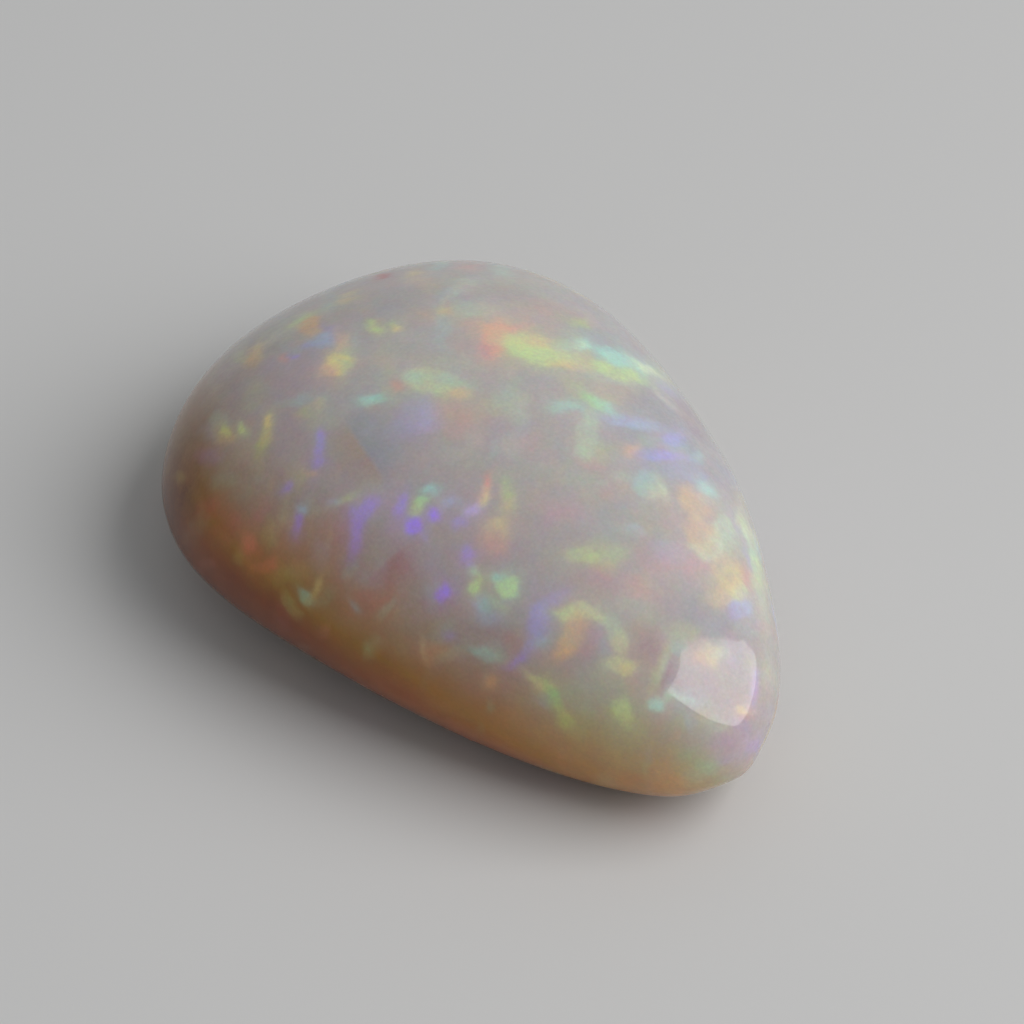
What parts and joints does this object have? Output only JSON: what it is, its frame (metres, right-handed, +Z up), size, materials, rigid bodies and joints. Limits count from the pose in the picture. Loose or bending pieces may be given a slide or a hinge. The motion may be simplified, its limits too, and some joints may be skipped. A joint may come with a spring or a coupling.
{
  "type": "polished freeform opal",
  "caption": "Polished freeform opal: a milky domed drop with a wide and a narrow end, rainbow colour patches, an amber low side and a flat ground back to rest on.",
  "frame": {"origin": "under the middle of the stone's bounding box, in the plane of the flat ground back it rests on", "axes": "+X along the stone towards its narrow end, +Y across it, +Z up out of the domed face"},
  "size_m": [0.03, 0.0202, 0.0108],
  "materials": {
    "opal_stone": "polished"
  },
  "bodies": {
    "root": {"opal": "opal_stone"}
  },
  "joints": []
}
